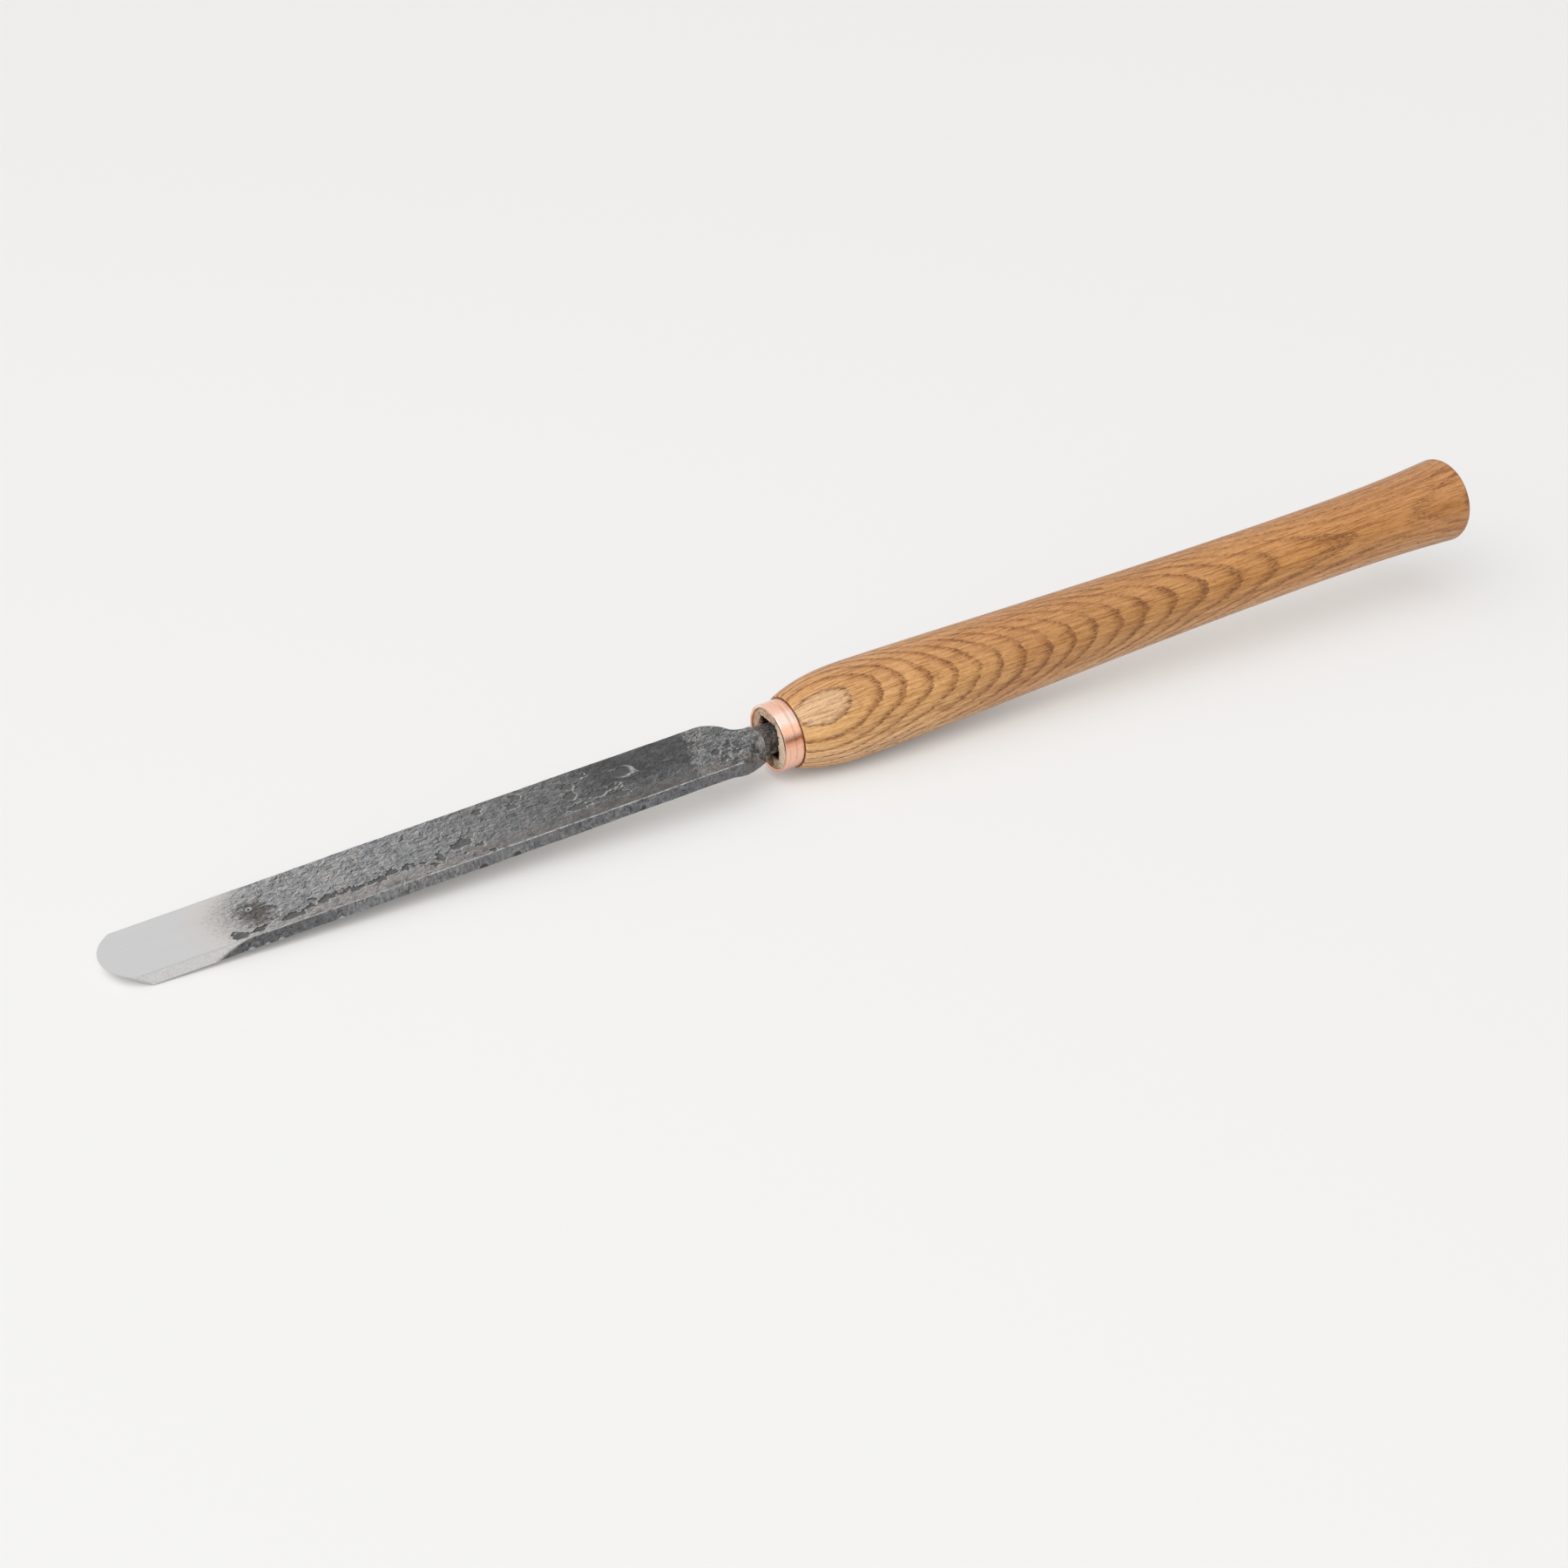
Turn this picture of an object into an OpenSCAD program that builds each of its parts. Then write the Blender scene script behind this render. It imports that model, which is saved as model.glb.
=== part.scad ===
// Round nose scraper for woodturning: a forged blade whose tang is driven into a turned oak handle
// with a copper ferrule. Lengths are in millimetres. Each piece is drawn with the handle's axis along X,
// the ferrule's front face at x = 0, the nose towards -X and the butt towards +X. Then the whole tool is
// laid down as it rests on a bench: on its nose and on the belly of the handle, with the butt lifted and
// the bench top at z = 0.

/* [Blade] */
// Reach of the blade from the ferrule's front face to the tip of the nose
blade_l = 214; // [160:1:300]
// Width of the bar
bar_w = 26.2; // [24:0.1:30]
// Thickness of the bar
bar_t = 4.2; // [3:0.1:6]
// Height of the bar's top face above the handle's axis
bar_top = 4.1; // [4:0.1:5]
// Width across the ground nose
nose_w = 24.4; // [20:0.1:24.8]
// Length over which the bar narrows to the nose's width
nose_taper_l = 60; // [30:1:100]
// Radius of the round cutting edge, seen from above
nose_r = 14.5; // [14.4:0.1:20]
// Angle between the top face and the bevel ground under the tip of the nose
bevel_angle = 39; // [35:1:60]

/* [Neck and tang] */
// Distance before the ferrule at which the shoulders start to turn in
shoulder_from = 18.6; // [16:0.1:30]
// Distance before the ferrule at which the shoulders have reached the neck
shoulder_to = 5.7; // [4.5:0.1:8]
// Share of a shoulder that bulges outwards before it hollows into the neck
shoulder_bulge = 0.6; // [0.4:0.05:0.7]
// Distance before the ferrule at which the low webs beside the neck leave the bar's edges
web_from = 17; // [12:0.1:18]
// Width across the webs where they end
web_w = 11.2; // [10.4:0.1:12]
// Height of a web's edge where it ends
web_end_h = 0.8; // [0.5:0.1:2]
// Distance before the ferrule at which the underside starts to swell down into the neck
swell_from = 22; // [18:0.1:40]
// Width of the neck
neck_w = 9.8; // [8.5:0.1:11]
// Height of the neck
neck_h = 8.9; // [8.5:0.1:10]
// Length of the neck at its full height
neck_flat = 1; // [0.5:0.1:3]
// Length of bare tang between the neck and the ferrule's front face
tang_bare_l = 4; // [2:0.1:4.5]
// Side of the square tang at its root
tang_w = 8; // [6:0.1:8]
// Side of the square tang at its tip
tang_tip_w = 4; // [3:0.1:5]
// Depth of the tang's tip behind the ferrule's front face
tang_depth = 76; // [60:1:120]

/* [Ferrule] */
// Outside diameter of the ferrule, a ring of copper pipe
ferrule_d = 22; // [22:0.1:24]
// Wall of the ferrule
ferrule_wall = 1; // [0.8:0.1:1.5]
// Length of the ferrule
ferrule_l = 6.7; // [5:0.1:12]

/* [Handle] */
// Length of the handle behind the ferrule
handle_l = 269.5; // [200:0.5:350]
// Diameter of the wood against the ferrule
front_d = 23.6; // [22:0.1:25]
// Largest diameter of the belly
belly_d = 31.1; // [28:0.1:38]
// Distance of the belly's largest diameter behind the ferrule
belly_x = 24; // [15:0.5:40]
// Diameter of the waist
waist_d = 25.4; // [22:0.1:28]
// Distance of the waist behind the ferrule
waist_x = 202; // [150:0.5:220]
// Diameter of the flared butt
butt_d = 29.3; // [26:0.1:36]
// Radius of the butt's rounded rim
butt_round = 2; // [1:0.1:4]
// Radius of the gently domed end of the butt
dome_r = 80; // [40:1:200]
// Diameter of the hole's open mouth
mouth_d = 12.6; // [12:0.1:14]
// Depth of the wide mouth behind the ferrule's front face
mouth_depth = 28; // [24:1:40]
// Diameter of the pilot hole that grips the tang
pilot_d = 9.4; // [9.2:0.1:10]
// Distance of the wood's end grain behind the ferrule's front face
end_recess = 0.4; // [0:0.1:1]

/* [Hidden] */
$fn = 96;
fit_gap = 0.05;
over = 2;
web_drop = 0.6;
arc_steps = 8;
front_steps = 10;
long_steps = 24;
flare_steps = 12;
front_curve = 2.4;
belly_curve = 0.7;
flare_curve = 2.5;
bar_low = bar_top - bar_t;
neck_low = bar_top - neck_h;
bevel_run = bar_t / tan(bevel_angle);
nose_x = nose_r - blade_l;
front_r = front_d / 2;
belly_r = belly_d / 2;
waist_r = waist_d / 2;
butt_r = butt_d / 2;
spigot_r = ferrule_d / 2 - ferrule_wall - fit_gap;
rim_r = butt_r - butt_round;
dome_x = handle_l - dome_r;
flare_end = dome_x + sqrt(pow(dome_r - butt_round, 2) - pow(rim_r, 2));
rim_turn = asin(rim_r / (dome_r - butt_round));

// The bar's low nose edge and the belly meet the bench together.
// The tilt is set by the belly ring that touches first.
nose_low_x = nose_x - nose_r + bevel_run;
tilt = max([for (p = handle_side()) atan2(p[0] + bar_low, ferrule_l + p[1] - nose_low_x)]);
lift = -nose_low_x * sin(tilt) - bar_low * cos(tilt);
tip_reach = -blade_l * cos(tilt) - bar_top * sin(tilt);
butt_reach = (ferrule_l + dome_x) * cos(tilt) + dome_r;

// Two arcs that leave point a and reach point b along X, with no corner between them.
// The first takes that share of the way.
function ogee(a, b, share = 0.5) =
    let (run = b[0] - a[0], rise = b[1] - a[1])
    let (both = (run * run + rise * rise) / (2 * abs(rise)), turn = 2 * atan2(abs(rise), abs(run)))
    let (r1 = share * both, r2 = (1 - share) * both)
    concat(
        [for (i = [0 : arc_steps]) let (t = turn * i / arc_steps)
            [a[0] + sign(run) * r1 * sin(t), a[1] + sign(rise) * r1 * (1 - cos(t))]],
        [for (i = [arc_steps - 1 : -1 : 0]) let (t = turn * i / arc_steps)
            [b[0] - sign(run) * r2 * sin(t), b[1] - sign(rise) * r2 * (1 - cos(t))]]);

// Radius of the handle at a distance x behind the ferrule.
function handle_r(x) =
    x < belly_x ? front_r + (belly_r - front_r) * (1 - pow(1 - x / belly_x, front_curve))
    : x < waist_x ? belly_r
        - (belly_r - waist_r) * pow(sin(90 * pow((x - belly_x) / (waist_x - belly_x), belly_curve)), 2)
    : waist_r + (butt_r - waist_r) * pow((x - waist_x) / (flare_end - waist_x), flare_curve);

// Points [radius, distance] along a stretch of the handle.
function stretch(from, to, steps) =
    [for (i = [0 : steps - 1]) let (x = from + (to - from) * i / steps) [handle_r(x), x]];

function handle_side() = concat(
    stretch(0, belly_x, front_steps),
    stretch(belly_x, waist_x, long_steps),
    stretch(waist_x, flare_end, flare_steps));

function butt_rim() = [for (i = [0 : arc_steps]) let (t = 90 - (90 - rim_turn) * i / arc_steps)
    [rim_r + butt_round * sin(t), flare_end + butt_round * cos(t)]];

function butt_dome() = [for (i = [1 : arc_steps]) let (t = rim_turn * (1 - i / arc_steps))
    [dome_r * sin(t), dome_x + dome_r * cos(t)]];

// Half of the blade seen from above, from the nose to the tang's tip.
function half_plan() = concat(
    [[-blade_l - over, nose_w / 2], [nose_x, nose_w / 2], [nose_x + nose_taper_l, bar_w / 2]],
    ogee([-shoulder_from, bar_w / 2], [-shoulder_to, neck_w / 2], shoulder_bulge),
    [[-tang_bare_l, neck_w / 2], [-tang_bare_l, tang_w / 2], [tang_depth, tang_tip_w / 2]]);

// Half of the webs seen from above.
function half_web() = [[-swell_from, bar_w / 2], [-web_from, bar_w / 2], [-tang_bare_l, web_w / 2]];

// A shape that is even about the tool's axis, drawn from one of its sides.
module both_sides(side) {
    last = len(side) - 1;
    polygon(concat(side, [for (i = [last : -1 : 0]) [side[i][0], -side[i][1]]]));
}

// The blade seen from the side: a flat top, and an underside that swells down into the neck.
module side_view() {
    polygon(concat(
        [[-blade_l - over, bar_low], [-blade_l - over, bar_top], [-tang_bare_l, bar_top]],
        [[-tang_bare_l, tang_w / 2], [tang_depth, tang_tip_w / 2], [tang_depth, -tang_tip_w / 2]],
        [[-tang_bare_l, -tang_w / 2], [-tang_bare_l, neck_low]],
        ogee([-tang_bare_l - neck_flat, neck_low], [-swell_from, bar_low])));
}

// The webs seen from the side: all that lies below an edge that falls from the bar to the end of the neck.
module web_side() {
    polygon([[-swell_from, -neck_h], [-swell_from, bar_low], [-web_from, bar_top - web_drop],
        [-tang_bare_l, neck_low + web_end_h], [-tang_bare_l, -neck_h]]);
}

// Everything that the round grind leaves standing: a slanted cylinder under the cutting edge and all behind it.
// Cut level, the slanted cylinder is a circle of the nose's radius.
module nose_grind() {
    behind = tang_depth - nose_x + over;
    translate([nose_x, 0, bar_top]) rotate([0, bevel_angle - 90, 0]) linear_extrude(2 * behind, center = true) {
        scale([sin(bevel_angle), 1]) circle(nose_r);
        translate([0, -bar_w]) square([behind, 2 * bar_w]);
    }
}

module seen_from_above() {
    translate([0, 0, -neck_h]) linear_extrude(2 * neck_h) children();
}

module seen_from_side() {
    translate([0, bar_w, 0]) rotate([90, 0, 0]) linear_extrude(2 * bar_w) children();
}

module along_axis() {
    rotate([0, 90, 0]) children();
}

module resting() {
    translate([-(tip_reach + butt_reach) / 2, 0, lift]) rotate([0, -tilt, 0]) children();
}

module blade() {
    color("dimgray") resting() intersection() {
        union() {
            seen_from_above() both_sides(half_plan());
            intersection() {
                seen_from_above() both_sides(half_web());
                seen_from_side() web_side();
            }
        }
        seen_from_side() side_view();
        nose_grind();
    }
}

module ferrule() {
    color("#c98a70") resting() along_axis() difference() {
        cylinder(d = ferrule_d, h = ferrule_l);
        translate([0, 0, -over]) cylinder(d = ferrule_d - 2 * ferrule_wall, h = ferrule_l + 2 * over);
    }
}

module handle() {
    color("#c1935a") resting() along_axis() difference() {
        union() {
            translate([0, 0, end_recess]) cylinder(r = spigot_r, h = ferrule_l - end_recess + over);
            translate([0, 0, ferrule_l])
                rotate_extrude() polygon(concat([[0, 0]], handle_side(), butt_rim(), butt_dome()));
        }
        translate([0, 0, -over]) cylinder(d = mouth_d, h = mouth_depth + over);
        cylinder(d = pilot_d, h = tang_depth);
    }
}

blade();
ferrule();
handle();
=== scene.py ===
import math
import random

import bmesh
import bpy
from mathutils import Matrix, Vector, noise


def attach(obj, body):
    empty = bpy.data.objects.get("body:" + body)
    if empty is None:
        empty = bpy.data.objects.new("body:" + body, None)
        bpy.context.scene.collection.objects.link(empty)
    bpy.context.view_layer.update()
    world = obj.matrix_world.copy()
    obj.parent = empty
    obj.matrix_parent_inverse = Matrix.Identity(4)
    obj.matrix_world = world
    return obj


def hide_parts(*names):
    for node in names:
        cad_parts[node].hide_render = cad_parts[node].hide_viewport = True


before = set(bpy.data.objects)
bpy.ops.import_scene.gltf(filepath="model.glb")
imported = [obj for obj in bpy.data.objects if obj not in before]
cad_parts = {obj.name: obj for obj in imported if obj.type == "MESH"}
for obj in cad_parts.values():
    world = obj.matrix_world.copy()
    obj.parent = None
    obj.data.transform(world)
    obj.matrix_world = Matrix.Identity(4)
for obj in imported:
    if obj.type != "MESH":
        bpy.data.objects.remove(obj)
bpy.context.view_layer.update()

# The tool is modelled in millimetres with the handle's axis along x and the ferrule's front face at x = 0,
# then laid on the bench: nose and belly down, butt lifted
toolPose = {"tilt": 3.7537, "shift": -30.9849, "lift": 13.7701}
mm = 0.001
tiltAngle = math.radians(toolPose["tilt"])
restPlace = Vector((toolPose["shift"] * mm, 0, toolPose["lift"] * mm))
restMatrix = Matrix.Translation(restPlace) @ Matrix.Rotation(-tiltAngle, 4, "Y") @ Matrix.Scale(mm, 4)
tiny = 1e-4  # points closer than this are one point


def clamp(value, low=0.0, high=1.0):
    return min(max(value, low), high)


def lerp(a, b, t):
    return a + (b - a) * t


def smooth(value, start, end):
    t = clamp((value - start) / (end - start))
    return t * t * (3 - 2 * t)


def bumps(x, y, z=0.0):
    return noise.noise(Vector((x, y, z)))


def spreadOut(start, end, count):
    return [lerp(start, end, i / count) for i in range(count)]


def finishPiece(name, bm, material, node, sharpAngle):
    # merge, face outwards, lay on the bench, then hand the piece to the frame
    bmesh.ops.remove_doubles(bm, verts=bm.verts, dist=tiny)
    bmesh.ops.recalc_face_normals(bm, faces=bm.faces)
    for edge in bm.edges:
        edge.smooth = len(edge.link_faces) == 2 and edge.calc_face_angle(0) < math.radians(sharpAngle)
    for face in bm.faces:
        face.smooth = True
    bmesh.ops.transform(bm, matrix=restMatrix, verts=bm.verts)
    mesh = bpy.data.meshes.new(name)
    bm.to_mesh(mesh)
    bm.free()
    piece = bpy.data.objects.new(name, mesh)
    bpy.context.scene.collection.objects.link(piece)
    mesh.materials.append(material)
    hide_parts(node)
    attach(piece, "root")
    print("made", name, "with", len(mesh.polygons), "faces")
    return piece


# Small helpers for the node trees
def plug(tree, value, socket):
    if isinstance(value, bpy.types.NodeSocket):
        tree.links.new(value, socket)
    else:
        socket.default_value = value


def grey(value):
    return (value, value, value, 1)


def maths(tree, operation, *values):
    made = tree.nodes.new("ShaderNodeMath")
    made.operation = operation
    for socket, value in zip(made.inputs, values):
        plug(tree, value, socket)
    return made.outputs[0]


def vectorMaths(tree, operation, *values):
    made = tree.nodes.new("ShaderNodeVectorMath")
    made.operation = operation
    for socket, value in zip(made.inputs, values):
        plug(tree, value, socket)
    return made.outputs[0]


def add(tree, a, b):
    return maths(tree, "ADD", a, b)


def less(tree, a, b):
    return maths(tree, "SUBTRACT", a, b)


def times(tree, a, b):
    return maths(tree, "MULTIPLY", a, b)


def most(tree, a, b):
    return maths(tree, "MAXIMUM", a, b)


def magnitude(tree, value):
    return maths(tree, "ABSOLUTE", value)


def flip(tree, value):
    return less(tree, 1.0, value)


def swing(tree, value, reach):
    # a noise value as a swing about zero
    return times(tree, add(tree, value, -0.5), reach)


def distance(tree, a, b):
    return maths(tree, "SQRT", add(tree, times(tree, a, a), times(tree, b, b)))


def fade(tree, value, start, end, low=0.0, high=1.0):
    made = tree.nodes.new("ShaderNodeMapRange")
    made.interpolation_type = "SMOOTHSTEP"
    for socket, number in zip(made.inputs, (value, start, end, low, high)):
        plug(tree, number, socket)
    return made.outputs[0]


def blend(tree, factor, a, b, mode="MIX"):
    made = tree.nodes.new("ShaderNodeMix")
    made.data_type = "RGBA"
    made.blend_type = mode
    plug(tree, factor, made.inputs[0])
    plug(tree, a, made.inputs[6])
    plug(tree, b, made.inputs[7])
    return made.outputs[2]


def ramp(tree, factor, stops):
    made = tree.nodes.new("ShaderNodeValToRGB")
    elements = made.color_ramp.elements
    while len(elements) < len(stops):
        elements.new(0.5)
    for element, (place, colour) in zip(elements, stops):
        element.position = place
        element.color = colour if isinstance(colour, tuple) else grey(colour)
    plug(tree, factor, made.inputs[0])
    return made.outputs[0]


def stretched(tree, vector, sx, sy, sz, shift=(0, 0, 0)):
    return vectorMaths(tree, "MULTIPLY_ADD", vector, (sx, sy, sz), shift)


def grainNoise(tree, vector, scale=1.0, detail=3.0, roughness=0.55, distortion=0.0):
    made = tree.nodes.new("ShaderNodeTexNoise")
    plug(tree, vector, made.inputs["Vector"])
    made.inputs["Scale"].default_value = scale
    made.inputs["Detail"].default_value = detail
    made.inputs["Roughness"].default_value = roughness
    made.inputs["Distortion"].default_value = distortion
    return made.outputs[0]


def cells(tree, vector, feature="F1"):
    made = tree.nodes.new("ShaderNodeTexVoronoi")
    made.feature = feature
    plug(tree, vector, made.inputs["Vector"])
    made.inputs["Scale"].default_value = 1.0
    return made.outputs["Distance"]


def splitAxes(tree, vector):
    made = tree.nodes.new("ShaderNodeSeparateXYZ")
    plug(tree, vector, made.inputs[0])
    return made.outputs[0], made.outputs[1], made.outputs[2]


def joinAxes(tree, x, y, z):
    made = tree.nodes.new("ShaderNodeCombineXYZ")
    for socket, value in zip(made.inputs, (x, y, z)):
        plug(tree, value, socket)
    return made.outputs[0]


def surfaceValue(tree, name):
    made = tree.nodes.new("ShaderNodeAttribute")
    made.attribute_name = name
    return made.outputs["Fac"]


def newMaterial(name):
    # returns the material, its tree, its shader and the surface's place in the tool's own millimetres
    material = bpy.data.materials.new(name)
    material.use_nodes = True
    tree = material.node_tree
    shader = tree.nodes["Principled BSDF"]
    where = tree.nodes.new("ShaderNodeTexCoord")
    lay = tree.nodes.new("ShaderNodeMapping")
    lay.vector_type = "TEXTURE"
    lay.inputs["Location"].default_value = restPlace
    lay.inputs["Rotation"].default_value = (0, -tiltAngle, 0)
    lay.inputs["Scale"].default_value = (mm, mm, mm)
    tree.links.new(where.outputs["Object"], lay.inputs["Vector"])
    return material, tree, shader, lay.outputs["Vector"]


def addBump(tree, shader, height):
    # heights are in millimetres
    made = tree.nodes.new("ShaderNodeBump")
    made.inputs["Strength"].default_value = 1.0
    made.inputs["Distance"].default_value = mm
    plug(tree, height, made.inputs["Height"])
    tree.links.new(made.outputs["Normal"], shader.inputs["Normal"])


def newGroup(name, inputs, outputs):
    tree = bpy.data.node_groups.new(name, "ShaderNodeTree")
    for label, kind, start in inputs:
        socket = tree.interface.new_socket(label, in_out="INPUT", socket_type=kind)
        if start is not None:
            socket.default_value = start
    for label in outputs:
        tree.interface.new_socket(label, in_out="OUTPUT", socket_type="NodeSocketFloat")
    return tree, tree.nodes.new("NodeGroupInput").outputs, tree.nodes.new("NodeGroupOutput").inputs


def useGroup(tree, group, **values):
    made = tree.nodes.new("ShaderNodeGroup")
    made.node_tree = group
    for label, value in values.items():
        plug(tree, value, made.inputs[label])
    return made.outputs


# Fine parallel scratches; Fine holds the lines per millimetre along each axis
scratches, given, puts = newGroup(
    "scratches", [("Place", "NodeSocketVector", None), ("Fine", "NodeSocketVector", (1, 1, 1))], ["Line", "Haze"])
spread = vectorMaths(scratches, "MULTIPLY", given["Place"], given["Fine"])
plug(scratches, fade(scratches, grainNoise(scratches, spread, 1.0, 4.0, 0.7), 0.42, 0.66), puts["Line"])
plug(scratches, grainNoise(scratches, spread, 0.23, 2.0, 0.5), puts["Haze"])

# Soft uneven tone at two sizes, for stains and handling marks
mottle, given, puts = newGroup(
    "mottle", [("Place", "NodeSocketVector", None), ("Size", "NodeSocketFloat", 10.0)], ["Broad", "Small"])
scaled = vectorMaths(mottle, "MULTIPLY", given["Place"], maths(mottle, "DIVIDE", 1.0, given["Size"]))
plug(mottle, grainNoise(mottle, scaled, 1.0, 2.0, 0.5, 0.4), puts["Broad"])
plug(mottle, grainNoise(mottle, scaled, 5.0, 4.0, 0.6, 0.6), puts["Small"])
print("shared node groups ready")


# Blade
blade = {
    "reach": 214.0, "barWidth": 26.2, "barThick": 4.2, "barTop": 4.1,
    "noseWidth": 24.4, "noseTaper": 60.0, "noseRadius": 14.5, "bevelAngle": 39.0,
    "bevelShort": 0.24,  # share by which the bevel's run is shorter at its corners
    "shoulderFrom": 18.6, "shoulderTo": 5.7, "shoulderBulge": 0.6, "swellFrom": 22.0,
    "neckWidth": 9.8, "neckHeight": 8.9, "neckFlat": 1.0,
    "webFrom": 17.0, "webWidth": 11.2, "webDrop": 0.6, "webEnd": 0.8,
    "tangBare": 4.0, "tangRoot": 8.0, "tangTip": 4.0, "tangDepth": 76.0,
    # mesh: where each stretch of cross-sections starts and how many it has, then columns across and rows down
    "stretches": ((-190.0, 360), (-24.0, 56), (-4.3, 1), (-4.08, 1), (-4.0, 14), (4.0, 24)),
    "noseRows": 44, "columns": 64, "edgeColumns": (0.0, 0.1, 0.22), "innerColumn": 0.36,
    "wallRows": (0, 0.03, 0.08, 0.2, 0.35, 0.5, 0.65, 0.8, 0.92, 0.97, 1),
    # wear: edge radii, hammer marks, and how much wider and deeper the bar is behind its middle
    "groundEdge": 0.06, "wornEdge": 0.32, "neckEdge": 1.6, "hammer": (0.11, 0.05), "edgeSway": (0.12, 0.05),
    "wider": 0.12, "deeper": 0.15, "behindMiddle": (-150, -70), "flakeDeep": 0.13,
    "dimple": (-170.0, 0.7, 0.55, 0.3),  # place along and across, radius, depth
    "grindAt": -179.5, "grindBow": (0.05, 0.02),  # end of the ground nose, and its bow on the far and near side
    "facetAt": -175.0, "facetRun": 9.4,  # end of the ground facet at the top of a side wall, and its run downwards
    # bare spots where scale has flaked off the top face: place along and across, length, width
    "flakes": [
        (-176.3, -10.2, 4.4, 3.4), (-178.2, -8.1, 1.4, 1.2), (-171.1, -9.8, 3.9, 1.9), (-160.2, -9.3, 5.6, 3.0),
        (-153.0, -4.5, 1.7, 1.9), (-149.4, -6.7, 5.2, 2.6), (-154.4, -8.1, 3.4, 1.5), (-143.5, -6.3, 4.6, 1.7),
        (-140.1, -7.2, 3.6, 1.6), (-134.3, -6.5, 6.0, 2.3), (-128.8, -5.4, 2.9, 2.0), (-124.0, -6.0, 3.6, 2.9),
        (-120.3, -6.4, 3.0, 1.2), (-116.7, -9.2, 2.1, 1.6), (-113.9, -6.5, 1.8, 3.6), (-105.8, -3.8, 6.6, 3.6),
        (-101.7, -7.2, 3.0, 1.5), (-106.8, -8.9, 1.6, 1.0), (-98.9, -12.2, 2.1, 1.4), (-120.3, -11.3, 1.3, 1.2),
        (-82.1, 9.9, 3.3, 3.1), (-85.1, 5.6, 3.1, 2.7), (-66.6, 5.9, 3.6, 3.2), (-68.3, 0.9, 4.2, 4.6),
        (-68.5, -6.0, 6.3, 3.5), (-64.4, -2.1, 3.0, 2.0), (-60.5, -2.6, 5.2, 4.4), (-55.4, -2.0, 5.2, 2.2),
        (-54.6, -6.8, 4.3, 4.0), (-60.9, 9.2, 2.9, 2.4), (-94.9, 8.8, 2.6, 2.6), (-48.8, 3.8, 6.6, 6.0),
        (-14.5, -6.6, 3.4, 2.6), (-20.5, -3.3, 2.4, 3.2), (-18.8, -7.9, 3.6, 2.2), (-15.6, -2.2, 2.0, 2.6),
    ],
    "lowFlakes": 46,  # how many on the hidden underside
    "blister": ((-48.8, 3.8), (-49.7, 4.4)),  # middle of a broad blister, and of the oval cut from its crescent
    # knocks low on the near wall: place along, height, size, and 1 for a bright chip or -1 for a pit painted dark
    # as shade
    "nicks": [
        (-174.8, 0.1, 0.9, 1), (-170.1, 0.1, 0.7, 1), (-166.0, 0.1, 0.8, 1), (-147.8, 0.1, 0.8, 1),
        (-103.4, 0.2, 1.1, -1), (-92.6, 0.4, 1.0, -1), (-50.8, 0.8, 0.7, -1),
    ],
    "lightSide": (-0.35, 0.55),  # a step along and across towards the light, for the lit sides of small marks
    # tones: forge scale from the tip of the nose to the tang, then marks on it, some of them painted shade and
    # painted highlight, and the ground nose
    "scaleTones": [
        (0.0, 0.25), (0.2, 0.255), (0.3, 0.24), (0.44, 0.215), (0.51, 0.172), (0.64, 0.12), (0.72, 0.10),
        (0.91, 0.095), (0.96, 0.142),
    ],
    "rustTint": (1.09, 0.98, 0.91, 1), "blueTint": (0.97, 1.0, 1.03, 1), "cloudTint": (0.24, 0.22, 0.19, 1),
    "flakeFloor": grey(0.052), "flakeFloorPale": grey(0.074), "flakeShade": grey(0.028),
    "flakeLitRim": (0.42, 0.41, 0.395, 1), "crescentHighlightTone": grey(0.38), "dimpleRing": grey(0.45),
    "dimplePitShade": grey(0.03), "wornAndLitTone": (0.55, 0.54, 0.525, 1), "chipTone": (0.46, 0.45, 0.435, 1),
    "pitShadeTone": grey(0.05), "groundTone": 0.618, "groundRough": 0.36,
}


def ogee(x, x0, y0, x1, y1, share=0.5):
    # two arcs from (x0, y0) to (x1, y1), level at both ends
    run, rise = x1 - x0, y1 - y0
    both = (run * run + rise * rise) / (2 * abs(rise))
    turn = 1 if rise > 0 else -1
    if x < x0 + run * share:
        r = both * share
        return y0 + turn * (r - math.sqrt(max(r * r - (x - x0) ** 2, 0)))
    r = both * (1 - share)
    return y1 - turn * (r - math.sqrt(max(r * r - (x1 - x) ** 2, 0)))


def bladeHalfWidth(x):
    b = blade
    noseStart = b["noseRadius"] - b["reach"]
    if x >= -b["tangBare"]:
        return lerp(b["tangRoot"], b["tangTip"], (x + b["tangBare"]) / (b["tangDepth"] + b["tangBare"])) / 2
    if x > -b["shoulderTo"]:
        return b["neckWidth"] / 2
    if x > -b["shoulderFrom"]:
        wide, slim = b["barWidth"] / 2, b["neckWidth"] / 2
        return ogee(x, -b["shoulderFrom"], wide, -b["shoulderTo"], slim, b["shoulderBulge"])
    return lerp(b["noseWidth"], b["barWidth"], clamp((x - noseStart) / b["noseTaper"])) / 2


def bladeTop(x):
    return bladeHalfWidth(x) if x >= -blade["tangBare"] else blade["barTop"]


def bladeLow(x):
    b = blade
    barLow, neckLow = b["barTop"] - b["barThick"], b["barTop"] - b["neckHeight"]
    if x >= -b["tangBare"]:
        return -bladeHalfWidth(x)
    if x > -b["tangBare"] - b["neckFlat"]:
        return neckLow
    if x > -b["swellFrom"]:
        return ogee(x, -b["swellFrom"], barLow, -b["tangBare"] - b["neckFlat"], neckLow)
    return barLow


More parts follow.
